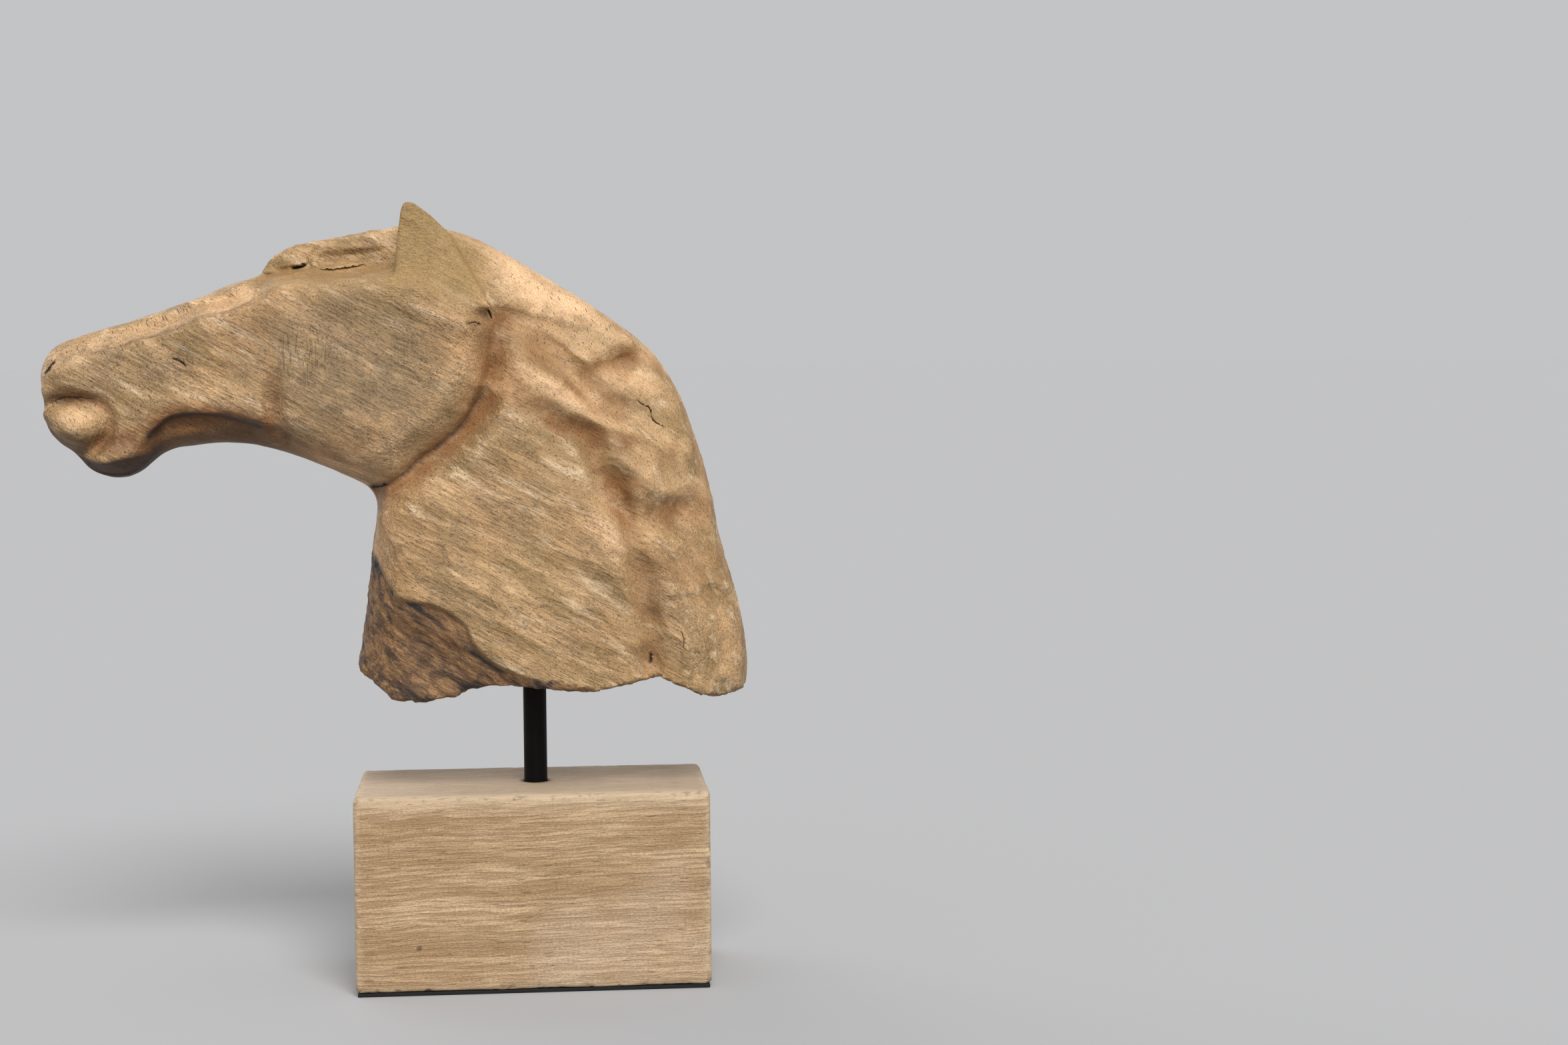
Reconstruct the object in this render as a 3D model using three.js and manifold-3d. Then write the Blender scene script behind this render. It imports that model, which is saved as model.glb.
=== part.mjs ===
// Carved driftwood horse head on a black rod, standing on a solid wood block with a thin pad.
// Millimetres, +Z up. The horse faces -X and shows its finer carving on the -Y side.
// The origin is the middle of the pad's underside.

import * as THREE from "three";
import { ParametricGeometry } from "three/addons/geometries/ParametricGeometry.js";
import { RoundedBoxGeometry } from "three/addons/geometries/RoundedBoxGeometry.js";
import { mergeVertices } from "three/addons/utils/BufferGeometryUtils.js";
import Module from "manifold-3d";

// ---- driving dimensions ----

const PAD = { length: 188, depth: 98, thickness: 2 };
const BLOCK = { length: 190, depth: 100, height: 105, arris: 2, arrisSteps: 2 };
const ROD = { x: 2, diameter: 12.7, inBlock: 40, top: 200, sides: 32 };
const CLEARANCE = 0.35;             // all round the rod in both bores, and at its two ends
const BLOCK_TOP = PAD.thickness + BLOCK.height;

// Rib by rib along the carving, from the muzzle over the cheek and round the throat to the foot:
// [x and z where the rib meets the under edge, x and z where it meets the top edge, half thickness].
const RIBS = [
  [-255.4, 314, -258.5, 331.5, 11],     // lips
  [-254.6, 302, -256, 341.4, 20],
  [-248.2, 294.6, -248.2, 349.2, 24],   // nostril
  [-240.5, 289.5, -238.5, 353.1, 25],   // mouth
  [-232, 280, -227.8, 356.2, 25],
  [-219, 276.4, -217.2, 359, 25],   // chin
  [-207, 280, -206.5, 362.2, 26],
  [-197, 288.8, -192, 367, 28],
  [-184, 292.8, -175, 373, 30],
  [-163, 295.2, -157, 380.6, 34],   // middle of the jaw
  [-142, 292.4, -139.5, 386.6, 37],
  [-124, 287, -129.4, 399, 39],     // brow, front of the forelock
  [-108, 280.4, -101.7, 405.3, 41],
  [-95, 274.6, -72, 410.4, 42],
  [-86, 269.4, -46.4, 410.5, 42],   // poll, between the ears
  [-82, 262, -23, 402.2, 42],       // throat
  [-82.5, 253, 5, 386.7, 42],
  [-83.7, 244, 31, 370.8, 42],
  [-84.8, 235, 55, 353.5, 43],
  [-86, 225, 71.6, 338.8, 43],
  [-87.3, 215, 82.6, 319.6, 44],
  [-88.5, 206, 90.6, 298.5, 45],
  [-89.8, 197, 97.3, 278, 46],
  [-91.1, 189, 102.1, 255, 46],
  [-92.3, 181, 106, 234, 46],
  [-93.7, 174, 113.4, 210.5, 46],
  [-94.8, 168, 118.2, 185, 46],
  [-95.8, 158, 119, 164, 46],
  [-97, 144, 116, 144, 46],         // below the broken foot, cut away
];
const LATTICE = { along: 84, across: 27 };

// Under edges are round and top edges thin. Each is [place along the ribs 0..1, millimetres].
const UNDER_ROUND = [[0, 10], [0.1, 14], [0.35, 20], [0.5, 26], [0.7, 34], [1, 34]];
const TOP_RIM = [[0, 9], [0.15, 9], [0.36, 12], [0.42, 17], [0.5, 12], [0.62, 9], [1, 12]];
const TOP_BEVEL = [[0, 14], [0.2, 15], [0.36, 20], [0.42, 26], [0.55, 40], [0.7, 44], [1, 30]];
const RIM_ROUND = 5;

// Gouged lines in side view: points of the line, half width up-left and down-right of it, depth,
// and how much of the depth the plainer far side has.
const GROOVES = {
  jaw: { line: [[-92, 269], [-77, 272.5], [-67, 277], [-46, 294], [-35, 304], [-26, 317], [-20, 331], [-17, 357]],
    left: 15, right: 18, depth: 9, far: 1 },
  mouth: { line: [[-256, 316], [-240, 319.5], [-227, 317], [-221, 308], [-223, 299], [-233, 290]],
    left: 6, right: 6, depth: 5, far: 0.9 },
  jawChannel: { line: [[-199, 297], [-188, 306], [-176, 308], [-160, 307], [-142, 302]],
    left: 5, right: 9, depth: 5, far: 0.8 },
  noseFlute: { line: [[-234, 349], [-202, 356], [-174, 365], [-152, 374]],
    left: 6, right: 6, depth: 3, far: 0.8 },
  cheekScoop: { line: [[-133, 328], [-133, 306], [-121, 288]],
    left: 7, right: 7, depth: 2, far: 0 },
  maneUpper: { line: [[-6, 354], [14, 341], [28, 327], [42, 313], [62, 306]],
    left: 16, right: 12, depth: 6, far: 0.8 },
  maneLower: { line: [[32, 300], [38, 281], [48, 265], [62, 252], [74, 248]],
    left: 13, right: 13, depth: 5, far: 0.8 },
  maneFoot: { line: [[44, 268], [52, 250], [58, 232], [61, 212], [64, 190], [66, 164]],
    left: 15, right: 12, depth: 6, far: 0.8 },
};

// Round swellings (+) and hollows (-) in side view: centre x, z, radii along x and z, height.
const SWELLINGS = [
  { x: -246, z: 336, rx: 16, rz: 13, height: 3, far: 1 },       // nostril
  { x: -238, z: 305, rx: 14, rz: 12, height: 5, far: 1 },       // lower lip
  { x: -215, z: 288, rx: 20, rz: 14, height: 3, far: 1 },       // chin
  { x: -100, z: 322, rx: 62, rz: 42, height: 4, far: 1 },       // cheek
  { x: 52, z: 333, rx: 22, rz: 14, height: -3, far: 0.5 },      // hollows between the locks of the mane
  { x: 84, z: 256, rx: 24, rz: 16, height: -4, far: 0.5 },
  { x: 78, z: 284, rx: 24, rz: 14, height: 3, far: 0.8 },
  { x: 90, z: 212, rx: 26, rz: 20, height: 3, far: 0.5 },
];

// Above this line the brow slopes back to the forelock.
const FORELOCK = { line: [[-145, 380], [-133, 377], [-115, 377.5], [-88, 379.5], [-60, 382]], setback: 18, ramp: 10 };

// Weathered break at the front of the foot: below this line the near face falls back.
const BREAK = { line: [[-100, 246], [-82, 235], [-69, 214], [-49, 209], [-33, 197], [-17, 177], [7, 168], [40, 150]],
  depth: 11, run: 26 };

// One ear in side view, and how far it stands from the middle at its foot and at its tip.
const EAR = {
  outline: [[-69, 362], [-68.2, 398], [-65.6, 418.4], [-63.6, 423.2], [-58.6, 422.2], [-49.8, 415.6], [-41, 407],
    [-29, 386], [-18.5, 366]],
  outer: 40, outerAtTip: 27, inner: 17, foot: 362, tip: 423,
};

// Under edge of the broken foot, from front to back.
const FOOT_EDGE = [[-110, 172.6], [-93.5, 172.3], [-85.6, 166], [-81, 163.5], [-74, 156.4], [-57.3, 156],
  [-40.8, 158.8], [-26, 163.9], [-9.5, 164.6], [12.7, 162.8], [34.8, 161], [55.7, 165.6], [68, 168],
  [79, 164], [90.7, 157.4], [101, 155.4], [114, 156], [118.4, 159.6], [135, 161]];

// ---- helpers ----

const clamp = (value, low, high) => Math.min(high, Math.max(low, value));

function ease(from, to, value) {
  const t = clamp((value - from) / (to - from), 0, 1);
  return t * t * (3 - 2 * t);
}

// Straight-line reading of a [place, value] table.
function reading(table, place) {
  let row = 1;
  while (row < table.length - 1 && table[row][0] < place) row += 1;
  const [x0, y0] = table[row - 1];
  const [x1, y1] = table[row];
  return y0 + (y1 - y0) * clamp((place - x0) / (x1 - x0), 0, 1);
}

// Distance from a line of points, and which side of it: below-right is positive.
function fromLine(line, x, z) {
  let near = { distance: Infinity, side: 1 };
  for (let i = 1; i < line.length; i += 1) {
    const [ax, az] = line[i - 1];
    const [dx, dz] = [line[i][0] - ax, line[i][1] - az];
    const t = clamp(((x - ax) * dx + (z - az) * dz) / (dx * dx + dz * dz), 0, 1);
    const [px, pz] = [x - ax - t * dx, z - az - t * dz];
    const distance = Math.hypot(px, pz);
    if (distance < near.distance) near = { distance, side: Math.sign(dz * px - dx * pz) || 1 };
  }
  return near;
}

// ---- boolean work ----

const wasm = await Module();
wasm.setup();

function solidOf(geometry) {
  const bare = geometry.clone();
  for (const name of ["normal", "uv"]) bare.deleteAttribute(name);
  const merged = mergeVertices(bare, 1e-4);
  const index = merged.index.array;
  const kept = [];
  for (let i = 0; i < index.length; i += 3) {
    const [a, b, c] = index.slice(i, i + 3);
    if (a !== b && b !== c && c !== a) kept.push(a, b, c);
  }
  return new wasm.Manifold(new wasm.Mesh({
    numProp: 3,
    vertProperties: new Float32Array(merged.attributes.position.array),
    triVerts: new Uint32Array(kept),
  }));
}

function geometryOf(solid) {
  const mesh = solid.getMesh();
  const geometry = new THREE.BufferGeometry();
  geometry.setAttribute("position", new THREE.BufferAttribute(mesh.vertProperties, 3));
  geometry.setIndex(new THREE.BufferAttribute(mesh.triVerts, 1));
  geometry.computeVertexNormals();
  return geometry;
}

function cylinderAlongZ(radius, bottom, top) {
  const geometry = new THREE.CylinderGeometry(radius, radius, top - bottom, ROD.sides);
  geometry.rotateX(Math.PI / 2);
  geometry.translate(ROD.x, 0, (bottom + top) / 2);
  return geometry;
}

// A side-view outline made solid across the object's thickness.
function slabAcross(points, from, to) {
  const shape = new THREE.Shape(points.map(([x, z]) => new THREE.Vector2(x, z)));
  const geometry = new THREE.ExtrudeGeometry(shape, { depth: to - from, bevelEnabled: false });
  geometry.rotateX(Math.PI / 2);
  geometry.translate(0, to, 0);
  return geometry;
}

// ---- horse head ----

const ribCurve = (column) => new THREE.SplineCurve(RIBS.map((rib, i) => new THREE.Vector2(i, rib[column])));
const ribCurves = [0, 1, 2, 3, 4].map(ribCurve);
const ribValue = (column, place) => ribCurves[column].getPoint(place).y;

// How far the carving takes the surface in, at a point in side view.
function carved(x, z, far) {
  let depth = 0;
  for (const groove of Object.values(GROOVES)) {
    const { distance, side } = fromLine(groove.line, x, z);
    const width = side > 0 ? groove.right : groove.left;
    depth += groove.depth * (far ? groove.far : 1) * Math.max(0, 1 - distance / width);
  }
  for (const swelling of SWELLINGS) {
    const reach = Math.hypot((x - swelling.x) / swelling.rx, (z - swelling.z) / swelling.rz);
    depth -= swelling.height * (far ? swelling.far : 1) * (1 - ease(0, 1, reach));
  }
  const front = fromLine(FORELOCK.line, x, z);
  const above = front.distance * -front.side;
  const [start, end] = [FORELOCK.line[0][0], FORELOCK.line.at(-1)[0]];
  if (x > start && x < end) depth += FORELOCK.setback * ease(0, FORELOCK.ramp, above) * ease(start, start + 14, x);
  if (!far) {
    const edge = fromLine(BREAK.line, x, z);
    if (z < BREAK.line[0][1]) depth += BREAK.depth * ease(0, BREAK.run, edge.distance * edge.side);
  }
  return depth;
}

// Half thickness at a rib place and a share of the way from its under edge to its top edge.
function halfThickness(place, share, x, z, length, far) {
  const full = ribValue(4, place);
  const fromUnder = share * length;
  const fromTop = (1 - share) * length;
  const round = reading(UNDER_ROUND, place);
  const under = Math.sqrt(1 - (1 - clamp(fromUnder / round, 0, 1)) ** 2);
  const rim = Math.min(reading(TOP_RIM, place), full);
  const bevel = clamp(fromTop / reading(TOP_BEVEL, place), 0, 1);
  const rimRound = Math.sqrt(1 - (1 - clamp(fromTop / RIM_ROUND, 0, 1)) ** 2);
  const top = rimRound * (rim + (full - rim) * bevel) / full;
  const body = full * Math.min(under, 1) * top;
  const cut = carved(x, z, far) * ease(0, 0.75, under) * ease(0, 0.5, top);
  return Math.max(body - cut, body * 0.3);
}

function headPoint(around, along, target) {
  const place = clamp((along * LATTICE.along - 1) / (LATTICE.along - 2), 0, 1);
  const far = around < 0.5;
  const turn = far ? 2 * around : 2 - 2 * around;
  const share = 0.45 * turn + 0.55 * (0.5 - 0.5 * Math.cos(Math.PI * turn));
  const [lowX, lowZ, topX, topZ] = [0, 1, 2, 3].map((column) => ribValue(column, place));
  if (along === 0 || along === 1) {
    target.set((lowX + topX) / 2, 0, (lowZ + topZ) / 2);
    return;
  }
  const x = lowX + (topX - lowX) * share;
  const z = lowZ + (topZ - lowZ) * share;
  const edge = share === 0 || share === 1;
  const half = edge ? 0 : halfThickness(place, share, x, z, Math.hypot(topX - lowX, topZ - lowZ), far);
  target.set(x, far ? half : -half, z);
}

// An ear is a slab that leans in towards its tip.
function earGeometry(side) {
  const geometry = slabAcross(EAR.outline, EAR.inner, EAR.outer);
  const position = geometry.attributes.position;
  for (let i = 0; i < position.count; i += 1) {
    const lean = ease(EAR.foot, EAR.tip, position.getZ(i)) * (EAR.outer - EAR.outerAtTip);
    position.setY(i, side * (position.getY(i) - lean * (position.getY(i) > EAR.inner ? 1 : 0.2)));
  }
  if (side < 0) {
    const index = Array.from({ length: position.count }, (_, i) => i - (i % 3) + [0, 2, 1][i % 3]);
    geometry.setIndex(index);
  }
  return geometry;
}

function horseHead() {
  const lattice = new ParametricGeometry(headPoint, 2 * LATTICE.across, LATTICE.along);
  let solid = solidOf(lattice);
  for (const side of [-1, 1]) solid = solid.add(solidOf(earGeometry(side)));
  const below = [[135, 130], [-110, 130], ...FOOT_EDGE];
  solid = solid.subtract(solidOf(slabAcross(below, -70, 70)));
  const bore = cylinderAlongZ(ROD.diameter / 2 + CLEARANCE, 130, ROD.top + CLEARANCE);
  return geometryOf(solid.subtract(solidOf(bore)));
}

// ---- stand ----

function baseBlock() {
  const { length, depth, height, arris, arrisSteps } = BLOCK;
  const box = new RoundedBoxGeometry(length, depth, height, arrisSteps, arris);
  box.translate(0, 0, PAD.thickness + height / 2);
  const bore = cylinderAlongZ(ROD.diameter / 2 + CLEARANCE, BLOCK_TOP - ROD.inBlock - CLEARANCE, BLOCK_TOP + 5);
  return geometryOf(solidOf(box).subtract(solidOf(bore)));
}

function feltPad() {
  const pad = new THREE.BoxGeometry(PAD.length, PAD.depth, PAD.thickness);
  pad.translate(0, 0, PAD.thickness / 2);
  return pad;
}

// ---- assembly ----

const material = (color, roughness, metalness = 0) =>
  new THREE.MeshStandardMaterial({ color, roughness, metalness });

const group = new THREE.Group();

function addPiece(name, geometry, finish) {
  const mesh = new THREE.Mesh(geometry, finish);
  mesh.name = name;
  group.add(mesh);
}

addPiece("horse_head", horseHead(), material(0xb18e6b, 0.7));
addPiece("rod", cylinderAlongZ(ROD.diameter / 2, BLOCK_TOP - ROD.inBlock, ROD.top), material(0x111112, 0.45, 0.3));
addPiece("base_block", baseBlock(), material(0xc9ac85, 0.75));
addPiece("felt_pad", feltPad(), material(0x0d0d0e, 0.95));

export default group;
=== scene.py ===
"""Looks of the carved driftwood horse head, its rod, its wood block and its pad."""
import math

import bmesh
import bpy
import numpy as np
from mathutils import Matrix, Vector, noise


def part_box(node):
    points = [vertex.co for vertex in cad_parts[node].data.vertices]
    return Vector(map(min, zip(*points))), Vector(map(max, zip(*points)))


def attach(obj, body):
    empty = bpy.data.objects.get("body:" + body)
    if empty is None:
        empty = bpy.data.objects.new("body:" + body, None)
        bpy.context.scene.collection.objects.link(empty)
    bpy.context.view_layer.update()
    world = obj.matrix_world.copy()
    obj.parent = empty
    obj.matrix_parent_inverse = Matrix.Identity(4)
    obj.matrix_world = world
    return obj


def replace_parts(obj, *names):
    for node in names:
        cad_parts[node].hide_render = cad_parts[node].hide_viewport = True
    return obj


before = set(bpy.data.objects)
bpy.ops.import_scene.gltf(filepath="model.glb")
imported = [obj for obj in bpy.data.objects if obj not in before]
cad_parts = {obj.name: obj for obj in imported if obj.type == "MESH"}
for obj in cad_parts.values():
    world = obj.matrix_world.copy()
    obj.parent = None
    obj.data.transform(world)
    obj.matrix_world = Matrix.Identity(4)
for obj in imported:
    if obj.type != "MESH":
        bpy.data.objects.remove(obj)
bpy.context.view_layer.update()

MM = 0.001

# ---- camera ----

LENS_MM = 64
CAMERA_PLACE = Vector((0.65, -1527.55, 352.27)) * MM
CAMERA_YAW = math.radians(5.221)        # to the right of straight ahead
CAMERA_PITCH = math.radians(3.915)      # downwards
CAMERA_ROLL = math.radians(-0.435)


def add_camera():
    """The viewing angle: standing square to the block, a little above the neck."""
    ahead = Vector((math.sin(CAMERA_YAW) * math.cos(CAMERA_PITCH),
                    math.cos(CAMERA_YAW) * math.cos(CAMERA_PITCH),
                    -math.sin(CAMERA_PITCH)))
    level = Vector((math.cos(CAMERA_YAW), -math.sin(CAMERA_YAW), 0))
    upright = level.cross(ahead)
    right = math.cos(CAMERA_ROLL) * level + math.sin(CAMERA_ROLL) * upright
    up = right.cross(ahead)
    camera = bpy.data.objects.new("camera", bpy.data.cameras.new("camera"))
    camera.data.lens = LENS_MM
    turn = Matrix((right, up, -ahead)).transposed().to_4x4()
    camera.matrix_world = Matrix.Translation(CAMERA_PLACE) @ turn
    bpy.context.scene.collection.objects.link(camera)
    bpy.context.scene.camera = camera


# ---- material wiring ----

class Value:
    """A number socket that adds a Math node wherever it is used in an expression."""

    def __init__(self, finish, socket):
        self.finish = finish
        self.socket = socket

    def __add__(self, other):
        return self.finish.maths("ADD", self, other)

    def __sub__(self, other):
        return self.finish.maths("SUBTRACT", self, other)

    def __rsub__(self, other):
        return self.finish.maths("SUBTRACT", other, self)

    def __mul__(self, other):
        return self.finish.maths("MULTIPLY", self, other)

    def __pow__(self, other):
        return self.finish.maths("POWER", self, other)

    __radd__ = __add__
    __rmul__ = __mul__


class Finish:
    """One material: its tree, its shader and the few ways of adding nodes to it."""

    def __init__(self, name):
        self.material = bpy.data.materials.new(name)
        self.material.use_nodes = True
        self.tree = self.material.node_tree
        self.shader = self.tree.nodes["Principled BSDF"]
        self.place = self.node("ShaderNodeTexCoord", {}, {}, "Object")
        slow = self.noise(self.place, 22, 2.0, output="Color")
        self.drift = self.stretched(self.centred(slow), (2, 2, 2))

    def nodes(self, kind, settings, sockets, *outputs):
        """Adds a node, its settings first and then its sockets, and gives the outputs asked for."""
        made = self.tree.nodes.new(kind)
        for name, value in settings.items():
            setattr(made, name, value)
        by_name = {socket.name: socket for socket in reversed(made.inputs)}
        by_name.update({socket.identifier: socket for socket in made.inputs})
        for name, value in sockets.items():
            self.feed(by_name[name] if isinstance(name, str) else made.inputs[name], value)
        return [Value(self, made.outputs[output]) for output in outputs]

    def node(self, kind, settings, sockets, output=0):
        return self.nodes(kind, settings, sockets, output)[0]

    def feed(self, socket, value):
        if isinstance(value, Value):
            self.tree.links.new(value.socket, socket)
        else:
            socket.default_value = value

    def maths(self, operation, first, second):
        return self.node("ShaderNodeMath", {"operation": operation}, {0: first, 1: second})

    def between(self, value, low, high):
        """0 below low, 1 above high, eased in between; low may be above high."""
        return self.node("ShaderNodeMapRange", {"interpolation_type": "SMOOTHSTEP"},
                         {"Value": value, "From Min": low, "From Max": high})

    def mix(self, share, first, second, blend="MIX"):
        settings = {"data_type": "RGBA", "blend_type": blend, "clamp_factor": True}
        return self.node("ShaderNodeMix", settings,
                         {"Factor_Float": share, "A_Color": first, "B_Color": second}, "Result")

    def turned(self, in_side_view, towards_the_viewer=0):
        """Object coordinates whose X runs along the grain, given as two angles in degrees."""
        turn = (0, math.radians(in_side_view), math.radians(towards_the_viewer))
        return self.node("ShaderNodeMapping", {}, {"Vector": self.place, "Rotation": turn})

    def stretched(self, vector, scale):
        return self.node("ShaderNodeVectorMath", {"operation": "MULTIPLY"}, {0: vector, 1: scale})

    def noise(self, vector, scale, detail=3.0, roughness=0.5, output="Fac"):
        sockets = {"Vector": vector, "Scale": scale, "Detail": detail, "Roughness": roughness}
        return self.node("ShaderNodeTexNoise", {}, sockets, output)

    def streaks(self, vector, along, scale, detail, roughness, low, high):
        """Noise drawn out along the vector's X, eased from 0 at low to 1 at high."""
        drawn = self.stretched(vector, (along, 1, 1))
        return self.between(self.noise(drawn, scale, detail, roughness), low, high)

    def centred(self, colour):
        return self.node("ShaderNodeVectorMath", {"operation": "SUBTRACT"}, {0: colour, 1: (0.5, 0.5, 0.5)})

    def shifted(self, vector, amount):
        """The vector moved about by the slow drift, for wavering lines."""
        reach = self.stretched(self.drift, (amount, amount, amount))
        return self.node("ShaderNodeVectorMath", {"operation": "ADD"}, {0: vector, 1: reach})

    def cells(self, vector, scale):
        """Each point's distance to the middle of its cell, and the cell's own two random numbers."""
        distance, colour = self.nodes("ShaderNodeTexVoronoi", {}, {"Vector": vector, "Scale": scale},
                                      "Distance", "Color")
        return [distance] + self.nodes("ShaderNodeSeparateColor", {}, {"Color": colour}, "Red", "Green")

    def channels(self, attribute):
        """Red, green, blue and alpha of a colour attribute."""
        settings = {"attribute_name": attribute}
        colour, alpha = self.nodes("ShaderNodeAttribute", settings, {}, "Color", "Alpha")
        parts = self.nodes("ShaderNodeSeparateColor", {}, {"Color": colour}, "Red", "Green", "Blue")
        return parts + [alpha]

    def shaded(self, colour, share):
        """The colour made lighter or darker by a factor."""
        grey = self.node("ShaderNodeCombineColor", {}, {"Red": share, "Green": share, "Blue": share})
        return self.mix(1.0, colour, grey, "MULTIPLY")

    def finish(self, colour, roughness, height=None, depth=0.0, strength=1.0):
        """Feeds the shader, with the height as bump of a depth in metres, and gives the material."""
        self.feed(self.shader.inputs["Base Color"], colour)
        self.feed(self.shader.inputs["Roughness"], roughness)
        if height is not None:
            sockets = {"Strength": strength, "Distance": depth, "Height": height}
            self.feed(self.shader.inputs["Normal"], self.node("ShaderNodeBump", {}, sockets, "Normal"))
        return self.material


# ---- wood ----

GRAIN_SLOPE = -27         # degrees in side view, along the head's fibres
CREST_SLOPE = -60         # the same in the mane and the muzzle
TORN_SLOPE = -40
KNIFE_SLOPE = -33
LUMP_SLOPE = -35
BLOCK_SLOPE = 1.5

TAN = (0.48, 0.30, 0.147, 1)
ROSY = (0.43, 0.235, 0.10, 1)
KHAKI = (0.27, 0.166, 0.066, 1)
CREAM = (0.64, 0.465, 0.285, 1)
# pale honey wood, laid on as painted light where the crest, ridges, nose strip and lip face the light
LIT_HONEY = (0.68, 0.43, 0.23, 1)
WEATHERED = (0.205, 0.135, 0.067, 1)
OLIVE = (0.27, 0.168, 0.062, 1)
UMBER = (0.25, 0.145, 0.06, 1)
# rust stain, also used as painted shade in the grooves, the hollows and the jaw's channel
RUST_AND_SHADE = (0.225, 0.10, 0.03, 1)
# near black painted shade for the creases, the channel, the chin's underside and surfaces facing down
PAINTED_SHADE_DARK = (0.05, 0.022, 0.009, 1)
TORN_DARK = (0.13, 0.063, 0.025, 1)
TORN_LIGHT = (0.33, 0.178, 0.072, 1)
SCORCHED = (0.045, 0.024, 0.014, 1)
DAMP = (0.06, 0.03, 0.016, 1)
INK = (0.02, 0.016, 0.018, 1)
PORE = (0.10, 0.051, 0.0245, 1)
# painted shade inside the cracks and the nostril
CRACK_SHADE_DARK = (0.012, 0.008, 0.006, 1)


def pores(finish, grain, length, width, radius, share):
    """Dark vessel marks: short dashes along the grain, round dots where the cut crosses it."""
    distance, pick, size = finish.cells(finish.stretched(grain, (1 / length, 1 / width, 1 / width)), 1.0)
    inside = finish.between(size * (radius * 0.7) + radius * 0.6 - distance, 0.0, radius * 0.3)
    return inside * finish.between(pick + share, 0.98, 1.02)


def torn_wood(finish, torn, blotch, inky):
    """The broken corner: torn brown fibres, scorched streaks and a blue-black edge."""
    scorch = finish.noise(finish.stretched(finish.turned(TORN_SLOPE + 2, 5), (0.14, 1, 1)), 160, 5.0, 0.65)
    colour = finish.mix(finish.between(torn, 0.3, 0.7), TORN_DARK, TORN_LIGHT)
    colour = finish.mix(finish.between(scorch, 0.51, 0.62) * 0.85, colour, SCORCHED)
    colour = finish.mix(finish.between(blotch, 0.5, 0.62) * 0.65, colour, DAMP)
    return finish.mix(inky * finish.between(blotch + scorch, 0.92, 1.12), colour, INK)


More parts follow.
